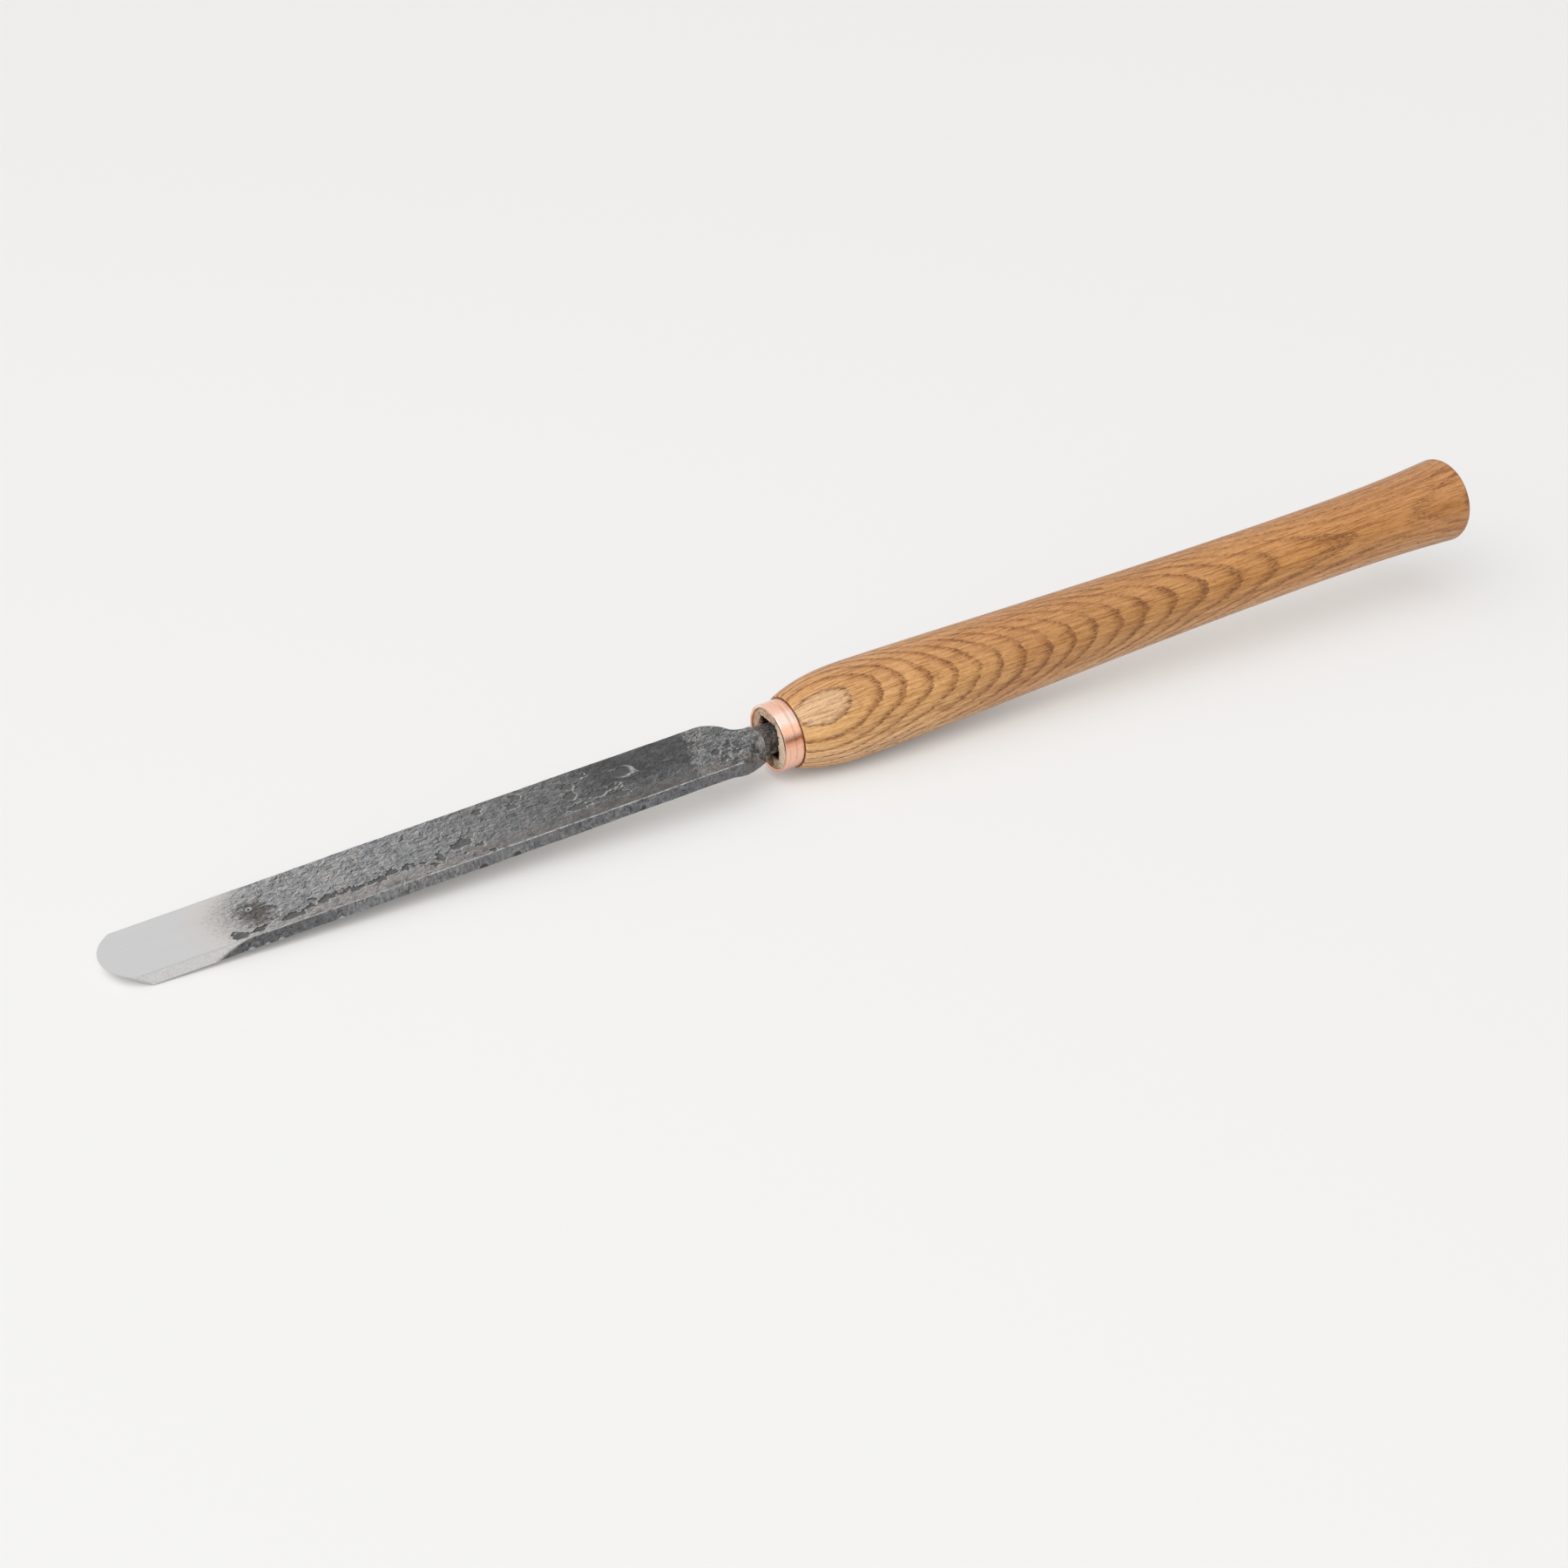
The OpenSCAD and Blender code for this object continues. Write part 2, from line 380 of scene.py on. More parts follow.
def webSpread(x, z):
    # how much wider the neck is at height z than at its top: low webs fill the corners under the shoulders
    b = blade
    t = (x + b["webFrom"]) / (b["webFrom"] - b["tangBare"])
    if t <= 0 or t >= 1:
        return 1.0
    edge = lerp(b["barTop"] - b["webDrop"], b["barTop"] - b["neckHeight"] + b["webEnd"], t)
    half = bladeHalfWidth(x)
    web = max(lerp(b["barWidth"], b["webWidth"], t) / 2, half)
    return lerp(half, web, smooth(z, b["barTop"] + 0.2, edge)) / half


def webEdge(x):
    # height of the webs' upper edge, or the bar's top where there are none
    b = blade
    t = clamp((x + b["webFrom"]) / (b["webFrom"] - b["tangBare"]))
    return lerp(b["barTop"] - b["webDrop"] * t, b["barTop"] - b["neckHeight"] + b["webEnd"], t)


def grindEdge(x, y):
    # millimetres behind the line where the ground nose fades into forge scale
    farBow, nearBow = blade["grindBow"]
    return x - blade["grindAt"] - farBow * max(y, 0) ** 2 - nearBow * min(y, 0) ** 2


def wallGrindEdge(x, down):
    # the same on a side wall, where the facet runs out to the top edge and the change is five times as sharp;
    # down is 0 at the top and 1 at the bottom
    return 5 * (x - blade["facetAt"] + blade["facetRun"] * (1 - (1 - down) ** 1.6))


def flakeField(x, y, flakes):
    # about the distance inside the nearest flaked spot, in millimetres; two sizes of noise make its outline ragged
    wx = x + 1.3 * bumps(x / 2.3, y / 2.0, 3.1) + 0.6 * bumps(x / 1.0, y / 1.0, 7.7)
    wy = y + 1.1 * bumps(x / 2.3, y / 2.0, 9.4) + 0.5 * bumps(x / 1.0, y / 1.0, 1.3)
    best = -2.0
    for fx, fy, length, width in flakes:
        if abs(wx - fx) < length + 2 and abs(wy - fy) < width + 2:
            out = math.hypot((wx - fx) * 2 / length, (wy - fy) * 2 / width)
            best = max(best, (1 - out) * min(length, width) / 2 + 0.15)
    return best


def noseSpot(t, v, s):
    # rows bend from straight across to the round cutting edge, whose bevel runs back under the tip
    b = blade
    noseBack = b["stretches"][0][0]
    arc = v * math.asin(b["noseWidth"] / 2 / b["noseRadius"])
    noseX = b["noseRadius"] - b["reach"]
    bevelRun = b["barThick"] / math.tan(math.radians(b["bevelAngle"])) * (1 - b["bevelShort"] * v * v)
    topPoint = Vector((noseX - b["noseRadius"] * math.cos(arc), b["noseRadius"] * math.sin(arc)))
    lowPoint = topPoint + Vector((bevelRun, 0))
    return Vector((noseBack, v * bladeHalfWidth(noseBack))).lerp(topPoint.lerp(lowPoint, s), t)


def roundedEdge(y, z, half, top, low, r):
    # moves a point of a cross-section onto corners of radius r
    middle, tall = (top + low) / 2, (top - low) / 2
    cy, cz = clamp(y, -(half - r), half - r), clamp(z - middle, -(tall - r), tall - r)
    out = Vector((y - cy, z - middle - cz))
    if out.length > 0:
        out *= r / out.length
    return cy + out.x, middle + cz + out.y


def hammered(x, y, layer):
    broad, fine = blade["hammer"]
    return broad * bumps(x / 13, y / 8, layer) + fine * bumps(x / 4.5, y / 3, layer + 3.5) - 0.05


def makeBlade(material):
    b = blade
    ends = [start for start, count in b["stretches"][1:]] + [b["tangDepth"]]
    stations = [x for (start, count), end in zip(b["stretches"], ends) for x in spreadOut(start, end, count)]
    stations.append(b["tangDepth"])
    half = b["barWidth"] / 2
    inner = 1 - b["innerColumn"] / half
    across = [-1 + d / half for d in b["edgeColumns"]] + spreadOut(-inner, inner, b["columns"]) + [inner]
    across += [1 - d / half for d in reversed(b["edgeColumns"])]
    down = b["wallRows"]
    cuts = (b["noseRows"] + len(stations) - 1, len(across) - 1, len(down) - 1)

    # a block cut into even slices, which is then drawn out to the blade's shape
    bm = bmesh.new()
    bmesh.ops.create_cube(bm, size=1)
    for axis in range(3):
        run = [e for e in bm.edges if abs(e.verts[0].co[axis] - e.verts[1].co[axis]) > 0.5]
        bmesh.ops.subdivide_edges(bm, edges=run, cuts=cuts[axis] - 1, use_grid_fill=True)
    marks = {name: bm.verts.layers.float.new(name) for name in ("flake", "grind", "wall", "rim", "nick", "beside")}

    random.seed(41)
    lowFlakes = [
        (random.uniform(-172, -24), random.uniform(-11, 11), random.uniform(1.5, 6), random.uniform(1.2, 3.6))
        for i in range(b["lowFlakes"])
    ]
    dimpleX, dimpleY, dimpleR, dimpleDeep = b["dimple"]
    longSway, shortSway = b["edgeSway"]
    lightX, lightY = b["lightSide"]

    for vert in bm.verts:
        i, j, k = (round((vert.co[a] + 0.5) * cuts[a]) for a in range(3))
        v, s = across[j], down[len(down) - 1 - k]
        onWall = j in (0, cuts[1])
        if i < b["noseRows"]:
            x, y = noseSpot(1 - i / b["noseRows"], v, s)
        else:
            x = stations[i - b["noseRows"]]
            y = v * bladeHalfWidth(x)
        top, low = bladeTop(x), bladeLow(x)
        z = lerp(top, low, s)
        forged = smooth(wallGrindEdge(x, s), -5, 20) if onWall else smooth(grindEdge(x, y), -2, 9)

        # round the long edges: lightly worn on the bar, full on the neck and tang
        a = bladeHalfWidth(x)
        neck = smooth(x, -20, -8)
        worn = lerp(b["groundEdge"], b["wornEdge"] * (1 + 0.5 * bumps(x / 4, v * 3, 2.2)), forged)
        r = min(lerp(worn, b["neckEdge"], neck), 0.45 * a, 0.45 * (top - low) / 2)
        if i >= b["noseRows"]:
            y, z = roundedEdge(y, z, a, top, low, r)
            y *= webSpread(x, z)

        # hammered faces, uneven edges and flaked scale
        behind = smooth(x, *b["behindMiddle"])
        sway = longSway * bumps(x / 9, v * 2, 5.0) + shortSway * bumps(x / 1.7, s * 2, v * 2)
        sway += b["wider"] * behind - 0.04
        y += forged * smooth(abs(v), 0.8, 1) * math.copysign(1, v) * sway * lerp(1, 0.6, neck)
        hollow, under = hammered(x, y, 0.5), hammered(x, y, 8.5) + b["deeper"] * behind
        flakes = b["flakes"] if s < 0.5 else lowFlakes
        field = flakeField(x, y, flakes) if s != 0.5 else -2.0
        sink = -b["flakeDeep"] * smooth(field, -0.12, 0.22)
        if s < 0.5:
            pit = math.hypot(x - dimpleX, y - dimpleY) / dimpleR
            sink -= dimpleDeep * (1 - smooth(pit, 0.35, 1.0)) - 0.06 * (1 - smooth(abs(pit - 1.15), 0.1, 0.5))
        bare = forged * (1 - smooth(x, -3, 1))  # inside the handle the tang stays plain
        z += bare * lerp(hollow, -under, s) + bare * (sink if s < 0.5 else -sink)
        vert.co = (x, y, z)

        # what the steel's material reads
        vert[marks["flake"]] = -2.0 if onWall else field
        # beside: the flake outline one step towards the light, for the painted shade and highlight at the flakes'
        # edges
        vert[marks["beside"]] = -2.0 if onWall else flakeField(x + lightX, y + lightY, flakes)
        vert[marks["grind"]] = wallGrindEdge(x, s) if onWall else grindEdge(x, y)
        onStrip = onWall and 0.02 < s < 0.98 and z < webEdge(x)
        vert[marks["wall"]] = 1.0 if onStrip and x < -b["tangBare"] else 0.0
        # rim: nearness to an edge, for the wear and painted highlight along the edges and the painted shade along
        # the ground nose's edges
        fromCorner = min(abs(z - webEdge(x)), 1.6 * (1 - s) * (top - low)) if onWall else (1 - abs(v)) * a
        neckRim = clamp(1 - smooth(x, -18, -13) + (1 - smooth(abs(x + 4.2), 0.2, 0.5)) * (s < 0.9))
        vert[marks["rim"]] = clamp(1 - fromCorner / 0.44) * neckRim if x < -4.5 else 0.36 * neckRim
        for nickX, nickZ, reach, shade in b["nicks"]:
            if onWall and v < 0 and abs(x - nickX) < 2 * reach:
                vert[marks["nick"]] = shade * clamp(1.3 - math.hypot((x - nickX) / 1.3, z - nickZ) / reach)
    return finishPiece("bladeForged", bm, material, "blade", 40)


def forgedSteel():
    b = blade
    material, tree, shader, place = newMaterial("forgedSteel")
    x, y, z = splitAxes(tree, place)
    flake, grind, beside = (surfaceValue(tree, name) for name in ("flake", "grind", "beside"))
    wall, rim, nick = (surfaceValue(tree, name) for name in ("wall", "rim", "nick"))
    tone = useGroup(tree, mottle, Place=place, Size=16.0)
    lightX, lightY = b["lightSide"]
    onTang = (-4.4, -3.6)  # the neck ends between these

    # crinkled scale: each curl gets a painted lit flank and a painted shaded flank, from the noise stepped towards
    # the light
    curl = (0.46, 0.55, 0.55)
    lit = (curl[0] * lightX * 0.45, curl[1] * lightY * 0.45, 0)
    crinkle = grainNoise(tree, stretched(tree, place, *curl), 1.0, 5.0, 0.62, 0.7)
    litCrinkle = grainNoise(tree, stretched(tree, place, *curl, lit), 1.0, 5.0, 0.62, 0.7)
    flank = less(tree, crinkle, litCrinkle)
    veins = grainNoise(tree, stretched(tree, place, 0.42, 0.5, 0.5, (7, 3, 1)), 1.0, 3.0, 0.55, 1.6)
    ridge = fade(tree, magnitude(tree, add(tree, veins, -0.5)), 0.03, 0.0)
    ridge = times(tree, ridge, fade(tree, tone["Small"], 0.42, 0.56))

    # zones along the bar, from light grey behind the nose to a dark smooth patch before the shoulders
    wander = add(tree, x, swing(tree, tone["Broad"], 18.0))
    bright = ramp(tree, times(tree, add(tree, wander, b["reach"]), 1 / b["reach"]), b["scaleTones"])
    ragged = swing(tree, crinkle, 9.0)
    shoulderAt = add(tree, add(tree, x, times(tree, add(tree, y, -9.7), -0.345)), ragged)
    shoulder = fade(tree, shoulderAt, -24.6, -22.6)
    darkSide = fade(tree, add(tree, y, swing(tree, veins, 16.0)), -5.5, -1.5, 0.25, 1.0)
    smoothPatch = fade(tree, add(tree, wander, ragged), -66.0, -54.0)
    smoothPatch = times(tree, smoothPatch, times(tree, flip(tree, shoulder), darkSide))
    strip = fade(tree, add(tree, y, times(tree, ragged, 0.15)), -6.5, -9.5)
    strip = times(tree, strip, fade(tree, x, -172, -150))
    calm = fade(tree, add(tree, wander, swing(tree, veins, 60.0)), -112, -86)
    calm = times(tree, calm, flip(tree, shoulder))
    busy = times(tree, flip(tree, times(tree, smoothPatch, 0.5)), flip(tree, times(tree, strip, 0.55)))
    busy = times(tree, busy, fade(tree, calm, 0.0, 1.0, 1.0, 0.5))
    busy = times(tree, busy, fade(tree, shoulder, 0.0, 1.0, 1.0, 0.7))
    patchy = add(tree, swing(tree, crinkle, 1.7), swing(tree, tone["Small"], 1.5))
    level = times(tree, bright, add(tree, patchy, 1.0))
    level = blend(tree, smoothPatch, level, fade(tree, tone["Small"], 0.40, 0.66, 0.034, 0.068))
    # painted light and shade on the curls' flanks, with thin light veins
    level = add(tree, level, times(tree, busy, add(tree, times(tree, flank, 1.45), times(tree, ridge, 0.12))))

    # a pale band where the shoulders start, small bubbles, dark spots on the neck painted as the shade of hollows,
    # and a darker tang
    paleBand = times(tree, shoulder, fade(tree, shoulderAt, -14.0, -19.0))
    level = add(tree, level, times(tree, paleBand, 0.035))
    warped = times(tree, grainNoise(tree, place, 0.8, 2.0, 0.5), 0.8)
    rings = vectorMaths(tree, "ADD", stretched(tree, place, 0.66, 0.75, 0.75), warped)
    bubble = fade(tree, cells(tree, rings, "DISTANCE_TO_EDGE"), 0.16, 0.03)
    bubble = times(tree, bubble, fade(tree, tone["Small"], 0.40, 0.56))
    spots = times(tree, fade(tree, veins, 0.45, 0.37), shoulder)
    level = add(tree, level, times(tree, times(tree, bubble, shoulder), 0.10))
    level = times(tree, level, flip(tree, times(tree, spots, 0.65)))
    level = times(tree, level, fade(tree, x, *onTang, 1.0, 0.62))
    level = most(tree, level, 0.022)
    scale = joinAxes(tree, level, level, times(tree, level, 1.005))

    # rust-brown and bluish tints, brown mostly in the strip beside the near edge and on the tang
    brown = add(tree, times(tree, strip, 0.6), times(tree, fade(tree, tone["Small"], 0.50, 0.64), 0.6))
    brown = add(tree, brown, fade(tree, x, *onTang))
    scale = blend(tree, brown, scale, b["rustTint"], "MULTIPLY")
    scale = blend(tree, fade(tree, veins, 0.52, 0.62), scale, b["blueTint"], "MULTIPLY")

    # flaked spots: smooth dark floor, with painted shade on the side towards the light and a painted highlight, a
    # light broken rim and outline, on the other
    tornBeside = grainNoise(tree, stretched(tree, place, 1, 1, 1, (lightX, lightY, 0)), 0.75, 3.0, 0.55)
    tornHere = add(tree, swing(tree, grainNoise(tree, place, 0.75, 3.0, 0.55), 2.4), flake)
    tornBeside = add(tree, swing(tree, tornBeside, 2.4), beside)
    floor, floorBeside = fade(tree, tornHere, -0.06, 0.10), fade(tree, tornBeside, -0.06, 0.10)
    shaded = most(tree, less(tree, floor, floorBeside), 0.0)
    rimLight = most(tree, less(tree, floorBeside, floor), 0.0)
    outline = fade(tree, magnitude(tree, add(tree, tornHere, 0.16)), 0.2, 0.05, 0.0, 0.6)
    rimLight = times(tree, most(tree, rimLight, outline), fade(tree, crinkle, 0.37, 0.55, 0.15, 1.0))
    paleFloor = times(tree, calm, flip(tree, smoothPatch))
    floorTone = blend(tree, paleFloor, b["flakeFloor"], b["flakeFloorPale"])
    floorTone = blend(tree, 1.0, floorTone, add(tree, times(tree, crinkle, 1.7), 0.2), "MULTIPLY")
    scale = blend(tree, times(tree, floor, 0.85), scale, floorTone)
    scale = blend(tree, times(tree, shaded, 0.9), scale, b["flakeShade"])
    scale = blend(tree, times(tree, rimLight, 0.88), scale, b["flakeLitRim"])

    # one broad shallow blister with a bright crescent on its side away from the light, a painted highlight, on the
    # top face only
    topFace = fade(tree, z, 1.5, 2.5)
    ovals = []
    for ovalX, ovalY in b["blister"]:
        oval = distance(tree, times(tree, add(tree, x, -ovalX), 0.29), times(tree, add(tree, y, -ovalY), 0.34))
        ovals.append(add(tree, oval, swing(tree, crinkle, 0.6)))
    crescent = times(tree, fade(tree, ovals[0], 1.2, 1.0), fade(tree, ovals[1], 0.9, 1.2))
    crescent = times(tree, times(tree, crescent, topFace), fade(tree, crinkle, 0.36, 0.56, 0.4, 0.75))
    scale = blend(tree, crescent, scale, b["crescentHighlightTone"])

    # dark cloud and light ring round the hardness dimple, and painted shade in its middle
    dx, dy = add(tree, x, -b["dimple"][0]), add(tree, y, -b["dimple"][1])
    cloud = distance(tree, times(tree, add(tree, dx, -0.6), 0.19), times(tree, add(tree, dy, 2.8), 0.15))
    cloud = add(tree, cloud, swing(tree, veins, 3.6))
    cloud = times(tree, fade(tree, cloud, 1.2, 0.6, 0.0, 0.9), topFace)
    scale = blend(tree, cloud, scale, b["cloudTint"], "MULTIPLY")
    ringAt = distance(tree, dx, dy)
    ringLight = fade(tree, magnitude(tree, add(tree, ringAt, -0.72)), 0.32, 0.08)
    scale = blend(tree, times(tree, ringLight, topFace), scale, b["dimpleRing"])
    scale = blend(tree, times(tree, fade(tree, ringAt, 0.5, 0.3), topFace), scale, b["dimplePitShade"])

    # side walls: cold grey and grainy, with fine marks across the thickness in the middle of the bar, and the same
    # painted light and shade on the curls' flanks
    marks = useGroup(tree, scratches, Place=place, Fine=(2.0, 0.25, 0.3))
    striped = times(tree, fade(tree, x, -158, -140), fade(tree, wander, -70, -100, 0.3, 1.0))
    wallTone = add(tree, times(tree, times(tree, marks["Line"], striped), 0.12), times(tree, crinkle, 0.16))
    wallTone = add(tree, add(tree, wallTone, 0.045), times(tree, flank, 0.7))
    wallTone = times(tree, wallTone, fade(tree, x, -160, -140, 0.6, 1.0))
    wallTone = most(tree, add(tree, wallTone, times(tree, ridge, 0.05)), 0.02)
    sides = joinAxes(tree, *(add(tree, wallTone, lift) for lift in (0.012, 0.013, 0.017)))
    scale = blend(tree, times(tree, wall, 0.9), scale, sides)

    # worn corners, partly wear and partly a painted highlight along the edges, bright chips, and pits painted dark
    # as shade
    wornAndLit = fade(tree, grainNoise(tree, place, 0.6, 4.0, 0.75), 0.36, 0.56, 0.2, 1.0)
    wornAndLit = times(tree, fade(tree, rim, 0.15, 0.6), wornAndLit)
    wornAndLit = times(tree, wornAndLit, fade(tree, x, -140, -80, 0.55, 0.85))
    scale = blend(tree, wornAndLit, scale, b["wornAndLitTone"])
    scale = blend(tree, fade(tree, nick, 0.25, 0.7, 0.0, 0.9), scale, b["chipTone"])
    scale = blend(tree, fade(tree, nick, -0.15, -0.5), scale, b["pitShadeTone"])

    # ground nose: bright satin, brushed lengthwise, with painted shade along its edges, running out in speckles
    brushed = useGroup(tree, scratches, Place=place, Fine=(0.12, 5.0, 5.0))
    shine = add(tree, times(tree, brushed["Haze"], 0.04), add(tree, times(tree, rim, -0.07), b["groundTone"]))
    grit = grainNoise(tree, place, 1.3, 3.0, 0.7)
    shine = add(tree, shine, times(tree, wall, times(tree, add(tree, grit, -0.42), 0.4)))
    warm = times(tree, fade(tree, grind, -14.0, -2.0), 0.06)
    greenShine, blueShine = (add(tree, shine, times(tree, warm, share)) for share in (-0.5, -0.9))
    ground = joinAxes(tree, add(tree, shine, 0.006), greenShine, blueShine)
    speckle = grainNoise(tree, stretched(tree, place, 0.8, 1.2, 1.2), 1.0, 5.0, 0.75)
    left = fade(tree, add(tree, grind, swing(tree, speckle, 22.0)), -6.0, 9.0)
    flakedHere = times(tree, most(tree, floor, rimLight), fade(tree, grind, -9.0, -5.0))
    left = most(tree, left, flakedHere)  # how much scale is left, from 0 on the ground nose to 1

    plug(tree, blend(tree, left, ground, scale), shader.inputs["Base Color"])
    plug(tree, fade(tree, left, 0.0, 1.0, 1.0, 0.3), shader.inputs["Metallic"])
    rough = less(tree, add(tree, times(tree, crinkle, 0.3), 0.34), times(tree, floor, 0.06))
    rough = add(tree, times(tree, left, rough), times(tree, flip(tree, left), b["groundRough"]))
    plug(tree, rough, shader.inputs["Roughness"])
    height = add(tree, times(tree, crinkle, 0.22), times(tree, ridge, 0.03))
    height = add(tree, times(tree, height, flip(tree, floor)), times(tree, rimLight, 0.04))
    height = times(tree, height, times(tree, left, busy))
    height = add(tree, height, times(tree, times(tree, marks["Line"], wall), 0.05))
    addBump(tree, shader, add(tree, height, times(tree, brushed["Line"], 0.002)))
    return material


# Ferrule
ferrule = {
    "length": 6.7, "outer": 11.0, "inner": 10.0, "round": 0.24, "turns": 144, "dents": 0.025, "unevenEnds": 0.03,
    "copper": (0.955, 0.565, 0.415, 1), "deepCopper": (0.925, 0.515, 0.355, 1),
    "highlightTone": (0.99, 0.80, 0.70, 1), "darkBandTint": (0.98, 0.77, 0.63, 1),
    "scratchTone": (0.96, 0.70, 0.58, 1), "hazeTint": (0.78, 0.66, 0.58, 1), "spotTone": (0.55, 0.27, 0.17, 1),
}


def isFerruleRim(edge):
    a, b = (vert.co for vert in edge.verts)
    atEnd = min(abs(a.x), abs(a.x - ferrule["length"])) < tiny
    return atEnd and abs(a.x - b.x) < tiny and abs(a.yz.length - b.yz.length) < 10 * tiny


def makeFerrule(material):
    f = ferrule
    bm = bmesh.new()
    corners = [bm.verts.new(p) for p in (
        (0, 0, f["inner"]), (0, 0, f["outer"]), (f["length"], 0, f["outer"]), (f["length"], 0, f["inner"]))]
    profile = [bm.edges.new((corners[i], corners[(i + 1) % 4])) for i in range(4)]
    bmesh.ops.spin(
        bm, geom=corners + profile, axis=(1, 0, 0), cent=(0, 0, 0), angle=math.tau, steps=f["turns"],
        use_merge=True)
    bmesh.ops.remove_doubles(bm, verts=bm.verts, dist=tiny)
    lengths = [e for e in bm.edges if abs(e.verts[0].co.x - e.verts[1].co.x) > 1]
    bmesh.ops.subdivide_edges(bm, edges=lengths, cuts=9, use_grid_fill=True)
    bmesh.ops.bevel(
        bm, geom=[e for e in bm.edges if isFerruleRim(e)], offset=f["round"], offset_type="OFFSET",
        affect="EDGES", segments=4, profile=0.5, material=-1)
    for vert in bm.verts:
        p = vert.co
        dent = f["dents"] * (bumps(p.x / 3, p.y / 5, p.z / 5) - 0.6)
        p.yz *= 1 + dent / p.yz.length
        p.x += f["unevenEnds"] * bumps(p.y / 2, p.z / 2, 3.0) * (1 - 2 * p.x / f["length"])
    return finishPiece("copperFerrule", bm, material, "ferrule", 50)


def satinCopper():
    f = ferrule
    material, tree, shader, place = newMaterial("satinCopper")
    z = splitAxes(tree, place)[2]
    tone = useGroup(tree, mottle, Place=place, Size=9.0)
    rings = useGroup(tree, scratches, Place=place, Fine=(5.5, 0.22, 0.22))
    colour = blend(tree, fade(tree, tone["Broad"], 0.35, 0.7), f["copper"], f["deepCopper"])
    # a painted highlight beside the top, and under it a duller band, a painted reflection
    paintedHighlight = times(tree, fade(tree, z, 7.0, 8.5), fade(tree, z, 10.7, 9.8, 0.0, 0.95))
    colour = blend(tree, paintedHighlight, colour, f["highlightTone"])
    paintedDarkBand = times(tree, fade(tree, z, 1.1, 2.2), fade(tree, z, 4.4, 3.6))
    colour = blend(tree, paintedDarkBand, colour, f["darkBandTint"], "MULTIPLY")
    # lathe scratches, haze and small brown spots
    colour = blend(tree, times(tree, rings["Line"], 0.5), colour, f["scratchTone"])
    colour = blend(tree, fade(tree, rings["Haze"], 0.48, 0.36, 0.0, 0.6), colour, f["hazeTint"], "MULTIPLY")
    colour = blend(tree, times(tree, fade(tree, tone["Small"], 0.60, 0.74), 0.45), colour, f["spotTone"])
    plug(tree, colour, shader.inputs["Base Color"])
    shader.inputs["Metallic"].default_value = 1.0
    plug(tree, add(tree, times(tree, rings["Haze"], 0.18), 0.16), shader.inputs["Roughness"])
    addBump(tree, shader, add(tree, times(tree, rings["Line"], 0.010), times(tree, tone["Small"], 0.02)))
    return material


# Handle
handle = {
    "ferrule": 6.7, "length": 269.5, "front": 11.8, "belly": 15.55, "bellyAt": 24.0, "waist": 12.7,
    "waistAt": 202.0, "butt": 14.65, "rimRound": 2.0, "dome": 80.0, "recess": 0.4, "spigot": 9.95,
    "mouth": 6.3, "mouthDeep": 28.0, "pilot": 4.7, "pilotDeep": 76.0, "turns": 144, "step": 1.8,
    # mesh: depths of rings in the mouth of the hole, and radii of rings on the end grain
    "mouthRows": (18, 11, 7, 4.5, 3, 2, 1.3, 0.8),
    "grainRows": (6.35, 6.6, 6.9, 7.3, 7.7, 8.1, 8.5, 8.9, 9.3, 9.6, 9.8),
    "pocket": (-88.0, 13.0, 9.75, 3.2),  # split beside the hole: direction and half width in degrees, reach, depth
    # the hole is chopped nearly square at its mouth: half sizes to each side
    "holeNear": 5.35, "holeFar": 6.3, "holeUp": 6.0, "holeDown": 6.6,
    # oak: how the rings slope along the handle, and the direction of the flat-sawn face in degrees
    "ringWidth": 2.2, "drift": (11.415, 0.20792, 3.463e-4, -2.2163e-6), "pithFar": 70.0,
    "faceTurn": (48.0, 28.5), "faceFrom": 18.0, "faceTo": 78.0, "skinRadius": 13.0,
    "oakTones": [  # from the ferrule to the butt
        (0.0, (0.675, 0.378, 0.150, 1)), (0.17, (0.615, 0.328, 0.122, 1)), (0.3, (0.51, 0.246, 0.085, 1)),
        (0.45, (0.497, 0.243, 0.080, 1)), (0.72, (0.55, 0.259, 0.079, 1)), (1.0, (0.475, 0.213, 0.066, 1)),
    ],
    "bounceTone": (0.68, 0.445, 0.255, 1), "underLightTint": (1.13, 1.13, 1.17, 1), "topGrainAndShadeTone": (0.55, 0.262, 0.10, 1),
    "paleTone": (0.655, 0.42, 0.235, 1), "bandTint": (0.66, 0.54, 0.42, 1), "poreTone": (0.15, 0.062, 0.02, 1),
    "seamShadeTone": (0.07, 0.035, 0.02, 1), "scorchAndShadeTone": (0.022, 0.016, 0.012, 1),
    "tornTones": [
        (0.34, (0.12, 0.06, 0.035, 1)), (0.45, (0.42, 0.26, 0.165, 1)), (0.56, (0.58, 0.39, 0.26, 1)),
        (0.7, (0.76, 0.60, 0.45, 1)),
    ],
    "nearTornTone": (0.90, 0.72, 0.53, 1),
}
rimRadius = handle["butt"] - handle["rimRound"]
domeAt = handle["length"] - handle["dome"]
flareEnd = domeAt + math.sqrt((handle["dome"] - handle["rimRound"]) ** 2 - rimRadius ** 2)
rimTurn = math.asin(rimRadius / (handle["dome"] - handle["rimRound"]))


def handleRadius(x):
    h = handle
    if x < h["bellyAt"]:
        return h["front"] + (h["belly"] - h["front"]) * (1 - (1 - x / h["bellyAt"]) ** 2.4)
    if x < h["waistAt"]:
        t = (x - h["bellyAt"]) / (h["waistAt"] - h["bellyAt"])
        return h["belly"] - (h["belly"] - h["waist"]) * math.sin(math.pi / 2 * t ** 0.7) ** 2
    return h["waist"] + (h["butt"] - h["waist"]) * ((x - h["waistAt"]) / (flareEnd - h["waistAt"])) ** 2.5


